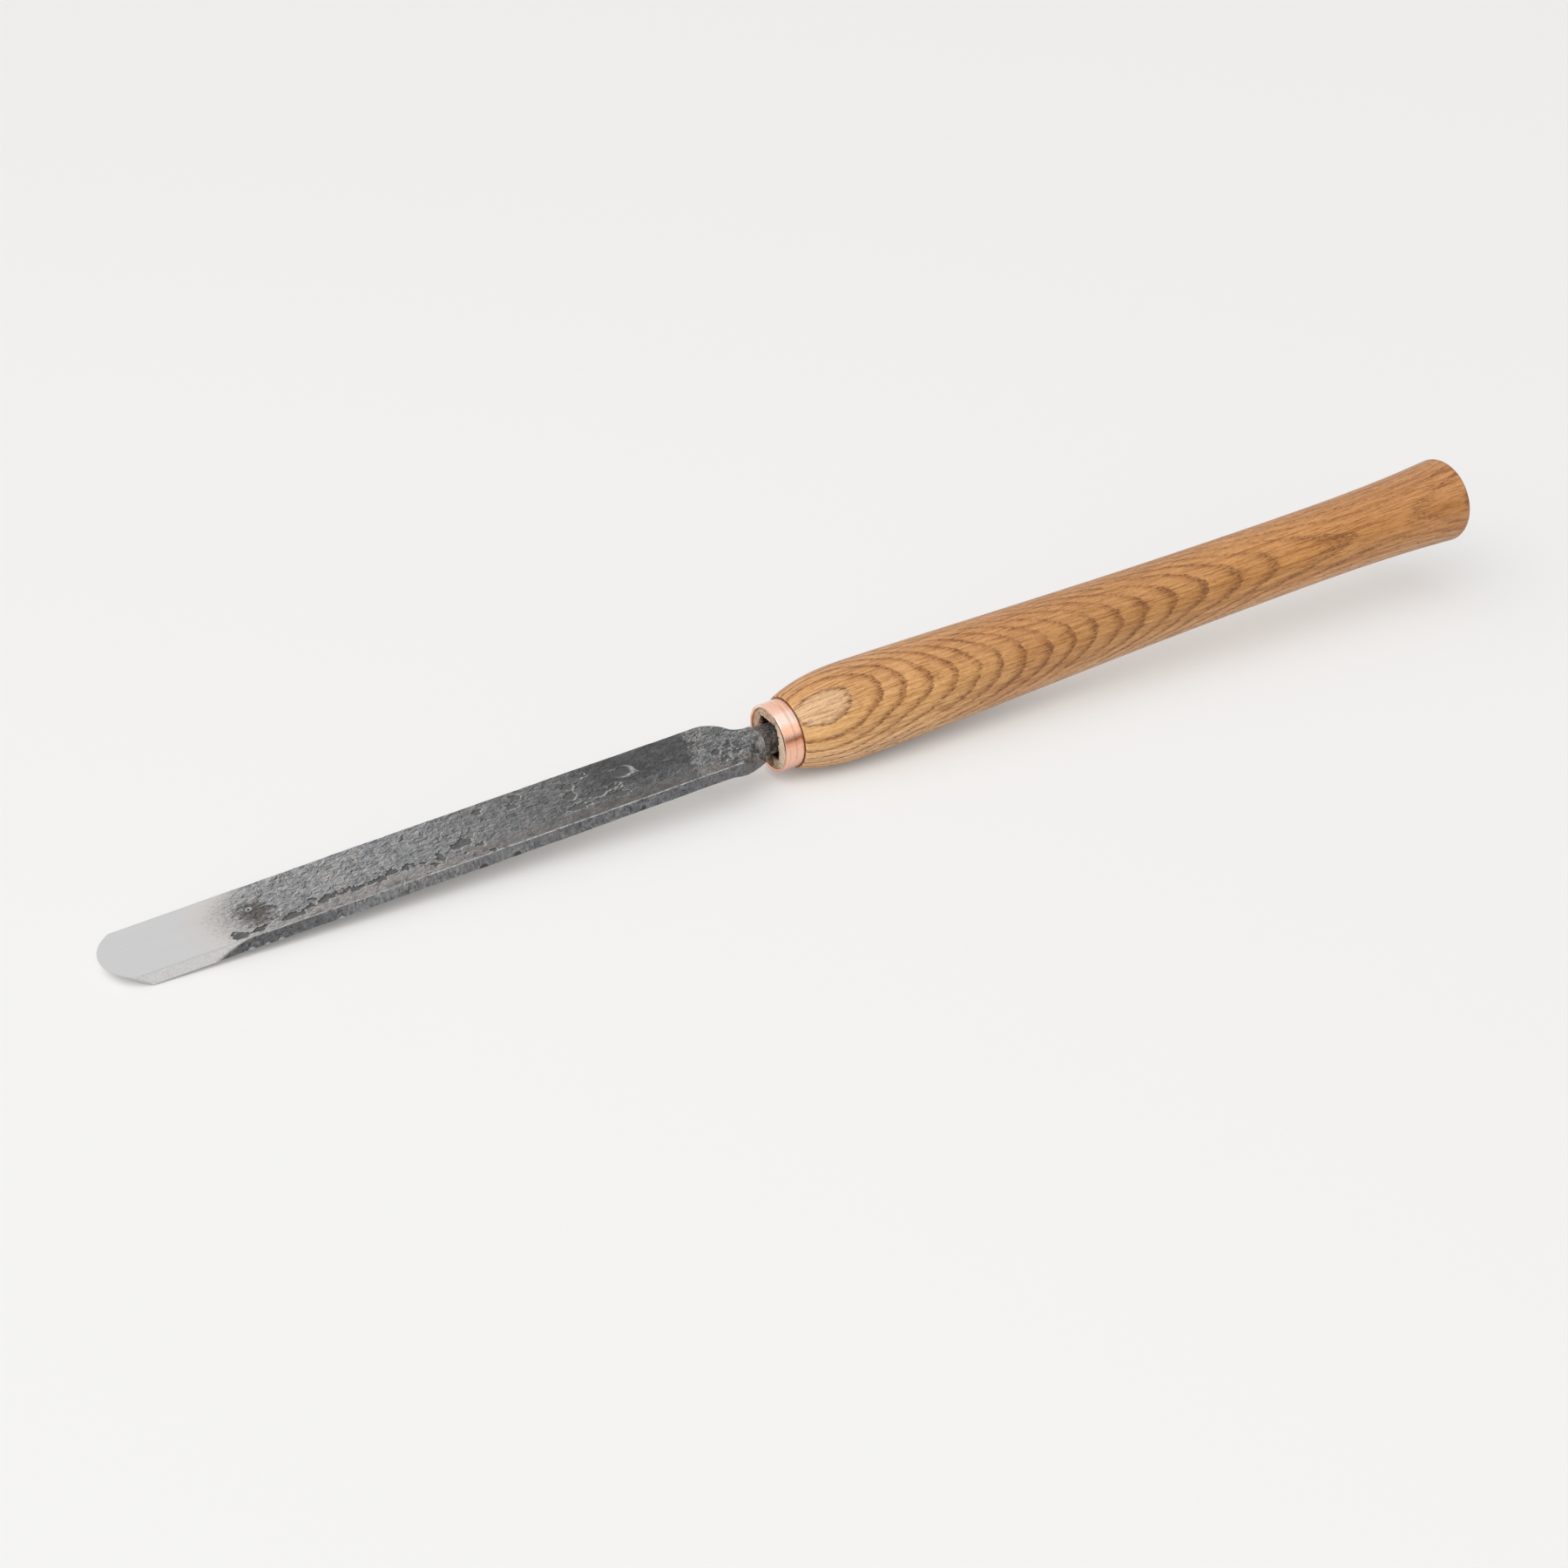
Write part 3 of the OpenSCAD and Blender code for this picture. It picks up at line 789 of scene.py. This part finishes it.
def holeRadius(y, z):
    h = handle
    across = y / (h["holeFar"] if y > 0 else h["holeNear"])
    up = z / (h["holeUp"] if z > 0 else h["holeDown"])
    return math.hypot(y, z) / (abs(across) ** 5 + abs(up) ** 5) ** 0.2


def handleProfile():
    # the turned profile as distance and radius, from the bottom of the hole to the end of the butt
    h = handle
    start = h["ferrule"]
    profile = [(h["pilotDeep"], 0), (h["pilotDeep"], h["pilot"]), (h["mouthDeep"], h["pilot"])]
    profile += [(x, h["mouth"]) for x in (h["mouthDeep"], *h["mouthRows"])]
    profile += [(h["recess"], r) for r in h["grainRows"]]
    profile += [(0.55, h["spigot"]), (3, h["spigot"]), (start, h["spigot"]), (start, 10.9), (start, 11.45)]
    profile += [(start + 0.06, 11.66), (start + 0.2, handleRadius(0.2) - 0.06), (start + 0.45, handleRadius(0.45))]
    profile += [(start + x, handleRadius(x)) for x in spreadOut(1, flareEnd, int(flareEnd / h["step"]))]
    for i in range(11):
        t = math.pi / 2 - (math.pi / 2 - rimTurn) * i / 10
        out = h["rimRound"] * math.sin(t)
        profile.append((start + flareEnd + h["rimRound"] * math.cos(t), rimRadius + out))
    for i in range(1, 13):
        t = rimTurn * (1 - i / 12)
        profile.append((start + domeAt + h["dome"] * math.cos(t), h["dome"] * math.sin(t)))
    return profile


def makeHandle(material):
    h = handle
    bm = bmesh.new()
    chain = [bm.verts.new((x, 0, r)) for x, r in handleProfile()]
    edges = [bm.edges.new(pair) for pair in zip(chain, chain[1:])]
    bmesh.ops.spin(
        bm, geom=chain + edges, axis=(1, 0, 0), cent=(0, 0, 0), angle=math.tau, steps=h["turns"], use_merge=True)
    bmesh.ops.remove_doubles(bm, verts=bm.verts, dist=tiny)

    # torn end grain inside the ferrule, a ragged hole and a split beside it
    aim, spread, reach, deep = h["pocket"]
    for vert in bm.verts:
        p = vert.co
        r = p.yz.length
        if p.x > 20 or r > 9.9 or r < 1:
            continue
        angle = math.degrees(math.atan2(p.z, p.y))
        squared = lerp(holeRadius(p.y, p.z), h["spigot"], (r - h["mouth"]) / (h["spigot"] - h["mouth"]))
        p.yz *= lerp(squared, r, smooth(p.x, 7, 17)) / r
        if p.x < 0.5:
            # fibres stand up and tear out
            p.x += 0.5 * abs(bumps(p.y / 1.1, p.z / 1.1, 1.0)) + 0.2 * bumps(p.y / 0.5, p.z / 0.5, 6.0) + 0.1
        off = abs((angle - aim + 180) % 360 - 180) / spread
        if off < 1 and 6.5 < r < reach and p.x < 2:
            p.x += deep * (1 - off ** 4) * smooth(reach - r, 0, 0.5)
        if r < 7.4 and p.x < 8:
            ragged = 0.4 * bumps(p.y / 2.2, p.z / 2.2, p.x / 4) + 0.3 * bumps(p.y / 0.9, p.z / 0.9, p.x / 2)
            p.yz *= 1 + ragged * (1 - smooth(r, 6.3, 7.4)) / r
    return finishPiece("oakHandle", bm, material, "handle", 50)


def oiledOak():
    h = handle
    material, tree, shader, place = newMaterial("oiledOak")
    x, y, z = splitAxes(tree, place)
    behind = add(tree, x, -h["ferrule"])
    length = times(tree, behind, 1 / h["length"])

    # the surface rolled out to an even cylinder, so that fibres follow the turned outline; end faces keep theirs
    radius = distance(tree, y, z)
    even = maths(tree, "DIVIDE", h["skinRadius"], most(tree, radius, 0.5))
    outside = times(tree, fade(tree, behind, -0.1, 0.0), fade(tree, behind, flareEnd + 1.9, flareEnd + 1.4))
    rolled = add(tree, times(tree, outside, add(tree, even, -1.0)), 1.0)
    skin = joinAxes(tree, x, times(tree, y, rolled), times(tree, z, rolled))
    sway = grainNoise(tree, stretched(tree, place, 0.035, 0.09, 0.09), 1.0, 2.0, 0.5)
    comb = grainNoise(tree, stretched(tree, skin, 0.16, 1.5, 1.5), 1.0, 3.0, 0.6)
    teeth = grainNoise(tree, stretched(tree, skin, 0.45, 3.4, 3.4), 1.0, 2.0, 0.5)

    # growth rings: distance from the tree's middle, sloping along the handle
    turn = maths(tree, "RADIANS", fade(tree, behind, h["faceFrom"], h["faceTo"], *h["faceTurn"]))
    cosTurn, sinTurn = maths(tree, "COSINE", turn), maths(tree, "SINE", turn)
    out = less(tree, times(tree, z, sinTurn), times(tree, y, cosTurn))
    side = add(tree, times(tree, y, sinTurn), times(tree, z, cosTurn))
    reach = add(tree, distance(tree, add(tree, out, h["pithFar"]), side), -h["pithFar"])
    a0, a1, a2, a3 = h["drift"]
    drift = add(tree, times(tree, behind, a3), a2)
    drift = add(tree, times(tree, behind, drift), a1)
    drift = add(tree, times(tree, behind, drift), a0)
    ringAt = maths(tree, "DIVIDE", less(tree, drift, reach), h["ringWidth"])
    ringAt = add(tree, ringAt, swing(tree, sway, 0.7))
    uneven = ramp(tree, length, [(0.0, 0.3), (0.1, 0.5), (0.2, 1.0), (0.5, 1.0), (0.75, 0.6), (1.0, 0.5)])
    jag = add(tree, swing(tree, comb, 0.36), swing(tree, teeth, 0.24))
    combed = add(tree, ringAt, times(tree, jag, uneven))
    phase = maths(tree, "FRACT", combed)
    flank = fade(tree, out, 11.0, 4.0)
    pale = times(tree, fade(tree, behind, 36.0, 24.0), fade(tree, combed, 0.02, -0.05))

    # each ring darkens softly towards its porous end, then starts light again
    strength = grainNoise(tree, stretched(tree, place, 0.03, 0.12, 0.12), 1.0, 2.0, 0.5)
    strength = times(tree, fade(tree, strength, 0.38, 0.58, 0.35, 1.0), flip(tree, times(tree, flank, 0.4)))
    strength = times(tree, strength, fade(tree, length, 0.55, 0.85, 1.0, 0.6))
    strength = most(tree, strength, fade(tree, behind, 52.0, 34.0, 0.0, 0.9))
    begins = fade(tree, pale, 0.0, 1.0, 0.42, 0.8)
    band = times(tree, fade(tree, phase, begins, 0.93), fade(tree, phase, 1.0, 0.95))
    row = times(tree, fade(tree, phase, 0.60, 0.84), fade(tree, phase, 1.0, 0.97))
    dashes = cells(tree, stretched(tree, skin, 0.5, 2.2, 2.2))
    thin = cells(tree, stretched(tree, skin, 0.3, 2.6, 2.6, (5, 2, 8)))
    row = times(tree, row, fade(tree, strength, 0.1, 0.8, 0.55, 1.0))
    stray = times(tree, fade(tree, thin, 0.34, 0.18), fade(tree, flank, 0.0, 1.0, 0.12, 0.65))
    pore = most(tree, times(tree, fade(tree, dashes, 0.50, 0.30), row), stray)
    fibre = grainNoise(tree, stretched(tree, skin, 0.12, 1.9, 1.9), 1.0, 4.0, 0.7)
    streak = grainNoise(tree, stretched(tree, skin, 0.02, 0.9, 0.9), 1.0, 3.0, 0.6)
    fleck = grainNoise(tree, stretched(tree, skin, 0.7, 2.6, 2.6, (1, 6, 3)), 1.0, 2.0, 0.6)

    # ground colour, paler low on the flanks from painted bounce light, and paler in the oval behind the ferrule
    colour = ramp(tree, length, h["oakTones"])
    bounceLight = times(tree, fade(tree, z, 3.0, -7.0, 0.0, 0.55), fade(tree, z, -4.5, -9.5, 1.0, 0.72))
    colour = blend(tree, times(tree, flank, bounceLight), colour, h["bounceTone"])
    # painted light from below: lighter and bluer low on the sides
    paintedUnderLight = times(tree, fade(tree, z, 0.0, -4.0), fade(tree, z, -6.0, -10.0, 1.0, 0.4))
    colour = blend(tree, paintedUnderLight, colour, h["underLightTint"], "MULTIPLY")
    # darker towards the top: partly darker grain, partly painted shade
    colour = blend(tree, fade(tree, z, 6.0, 13.0, 0.0, 0.5), colour, h["topGrainAndShadeTone"])
    colour = blend(tree, times(tree, pale, 0.85), colour, h["paleTone"])

    # dark ring bands, then streaks, fibres and flecks, dark and light, and pores last
    colour = blend(tree, times(tree, band, strength), colour, h["bandTint"], "MULTIPLY")
    for value, start, end, share, tint in (
        (streak, 0.48, 0.62, fade(tree, length, 0.5, 0.8, 0.5, 1.0), (0.74, 0.64, 0.52, 1)),
        (fibre, 0.50, 0.64, 1.0, (0.66, 0.56, 0.44, 1)),
        (fibre, 0.50, 0.34, 0.9, (1.18, 1.22, 1.28, 1)),
        (fleck, 0.52, 0.70, 0.6, (0.74, 0.66, 0.55, 1)),
        (fleck, 0.48, 0.30, 0.8, (1.14, 1.17, 1.22, 1)),
    ):
        colour = blend(tree, fade(tree, value, start, end, 0.0, share), colour, tint, "MULTIPLY")
    poreShare = fade(tree, times(tree, pale, flip(tree, band)), 0.0, 1.0, 0.8, 0.25)
    colour = blend(tree, times(tree, pore, poreShare), colour, h["poreTone"])

    # a dark line where the wood meets the ferrule, painted shade in the gap, torn end grain in it, and the wall of
    # the hole painted near black, partly scorch and partly painted shade
    seam = times(tree, fade(tree, behind, 0.5, 0.2, 0.0, 0.9), fade(tree, radius, 11.55, 11.2))
    colour = blend(tree, seam, colour, h["seamShadeTone"])
    tuft = grainNoise(tree, stretched(tree, place, 1, 1, 1, (2, 9, 4)), 1.1, 4.0, 0.7)
    torn = ramp(tree, tuft, h["tornTones"])
    torn = blend(tree, fade(tree, y, -3.0, -7.0, 0.0, 0.7), torn, h["nearTornTone"])
    colour = blend(tree, fade(tree, x, 6.5, 5.5), colour, torn)
    hole = times(tree, fade(tree, x, 0.9, 2.2), fade(tree, radius, 9.6, 8.6))
    hole = times(tree, hole, fade(tree, behind, flareEnd, flareEnd - 40))
    colour = blend(tree, hole, colour, h["scorchAndShadeTone"])

    plug(tree, colour, shader.inputs["Base Color"])
    shader.inputs["Specular IOR Level"].default_value = 0.5
    rough = add(tree, times(tree, fibre, 0.12), 0.38)
    plug(tree, add(tree, rough, times(tree, pore, 0.25)), shader.inputs["Roughness"])
    height = add(tree, times(tree, pore, -0.07), times(tree, fibre, 0.03))
    addBump(tree, shader, add(tree, height, times(tree, band, -0.02)))
    return material


makeBlade(forgedSteel())
makeFerrule(satinCopper())
makeHandle(oiledOak())


# Bench top, light and camera
studio = {
    "floorSize": 8.0, "floorColour": (0.848, 0.884, 0.914), "floorRough": 0.9, "floorGloss": 0.1,
    "floorGlow": 0.47, "glowColour": (0.93, 0.875, 0.825),
    "contact": 0.016, "contactFade": (0.06, 0.52, 0.38, 1.0),  # reach of the contact shadow, and how it fades
    "keyWay": (-0.676, -0.246, 0.695), "keySky": 1.95, "restSky": 0.18, "whiteSky": 0.84,
    # what metal mirrors at each height on the viewer's side and on the far side
    "mirrorNear": [
        (0.0, (0.12, 0.04, 0.02, 1)), (0.12, (0.12, 0.04, 0.02, 1)), (0.38, 1.08), (0.7, 1.12), (0.9, 1.0),
    ],
    "mirrorFar": [(0.6, 0.93), (0.85, 1.0)],
    # place, size and power
    "lamps": {"keyBox": ((-1.15, -0.42, 1.18), 1.2, 4.5), "frontBox": ((-0.75, -0.85, 1.15), 1.2, 1.5)},
}


def makeBench():
    s = studio
    bm = bmesh.new()
    bmesh.ops.create_grid(bm, x_segments=2, y_segments=2, size=s["floorSize"] / 2)
    mesh = bpy.data.meshes.new("benchTop")
    bm.to_mesh(mesh)
    bm.free()
    bench = bpy.data.objects.new("benchTop", mesh)
    bpy.context.scene.collection.objects.link(bench)
    material = bpy.data.materials.new("paleBench")
    material.use_nodes = True
    tree = material.node_tree
    shader = tree.nodes["Principled BSDF"]
    shader.inputs["Base Color"].default_value = (*s["floorColour"], 1)
    shader.inputs["Roughness"].default_value = s["floorRough"]
    shader.inputs["Specular IOR Level"].default_value = s["floorGloss"]
    # a glow lifts the paper towards white for the lens and for mirrors, which keeps its shadows light
    rays = tree.nodes.new("ShaderNodeLightPath")
    seen = most(tree, rays.outputs["Is Camera Ray"], rays.outputs["Is Glossy Ray"])
    glow = tree.nodes.new("ShaderNodeEmission")
    glow.inputs["Color"].default_value = (*s["glowColour"], 1)
    # close under the tool the glow fades, as in a contact shadow
    under = tree.nodes.new("ShaderNodeAmbientOcclusion")
    under.inputs["Distance"].default_value = s["contact"]
    plug(tree, fade(tree, under.outputs["AO"], *s["contactFade"]), glow.inputs["Strength"])
    mixed = tree.nodes.new("ShaderNodeMixShader")
    share = times(tree, seen, s["floorGlow"])
    for source, socket in zip((share, shader.outputs[0], glow.outputs[0]), mixed.inputs):
        tree.links.new(source, socket)
    tree.links.new(mixed.outputs[0], tree.nodes["Material Output"].inputs["Surface"])
    mesh.materials.append(material)


def makeLight():
    # soft room, brightest towards the nose's end; metal mirrors a plain pale room with a dark strip low on the
    # viewer's side, and the lens sees white
    s = studio
    world = bpy.data.worlds.new("softRoom")
    bpy.context.scene.world = world
    world.use_nodes = True
    tree = world.node_tree
    where = tree.nodes.new("ShaderNodeTexCoord")
    x, y, z = splitAxes(tree, where.outputs["Generated"])
    far = fade(tree, y, -0.5, 0.6)
    mirrored = blend(tree, far, ramp(tree, z, s["mirrorNear"]), ramp(tree, z, s["mirrorFar"]))
    keyX, keyY, keyZ = s["keyWay"]
    toward = add(tree, add(tree, times(tree, x, keyX), times(tree, y, keyY)), times(tree, z, keyZ))
    toward = most(tree, toward, 0.0)
    level = add(tree, times(tree, times(tree, toward, toward), s["keySky"]), s["restSky"])
    rays = tree.nodes.new("ShaderNodeLightPath")
    level = blend(tree, rays.outputs["Is Glossy Ray"], level, mirrored)
    level = blend(tree, rays.outputs["Is Camera Ray"], level, grey(s["whiteSky"]))
    plug(tree, level, tree.nodes["Background"].inputs["Color"])

    for name, (spot, wide, power) in s["lamps"].items():
        lamp = bpy.data.lights.new(name, "AREA")
        lamp.shape = "SQUARE"
        lamp.size = wide
        lamp.energy = power
        box = bpy.data.objects.new(name, lamp)
        box.location = spot
        box.rotation_euler = (-Vector(spot)).to_track_quat("-Z", "Y").to_euler()
        bpy.context.scene.collection.objects.link(box)


# where the lens stands, in metres and degrees
view = {
    "eye": (-0.40469, -0.62418, 0.42879), "turn": 31.306, "dip": 30.657, "roll": 0.569,
    "lens": 62.38, "sensor": 36.0, "clip": (0.01, 50),
}


def makeCamera():
    lens = bpy.data.cameras.new("photoView")
    lens.lens = view["lens"]
    lens.sensor_width = view["sensor"]
    lens.clip_start, lens.clip_end = view["clip"]
    camera = bpy.data.objects.new("photoView", lens)
    aim = Matrix.Rotation(-math.radians(view["turn"]), 4, "Z")
    aim = aim @ Matrix.Rotation(math.radians(90 - view["dip"]), 4, "X")
    aim = aim @ Matrix.Rotation(math.radians(view["roll"]), 4, "Z")
    camera.matrix_world = Matrix.Translation(view["eye"]) @ aim
    bpy.context.scene.collection.objects.link(camera)
    bpy.context.scene.camera = camera


makeBench()
makeLight()
makeCamera()
bpy.context.scene.view_settings.view_transform = "Standard"
print("bench, light and camera set")
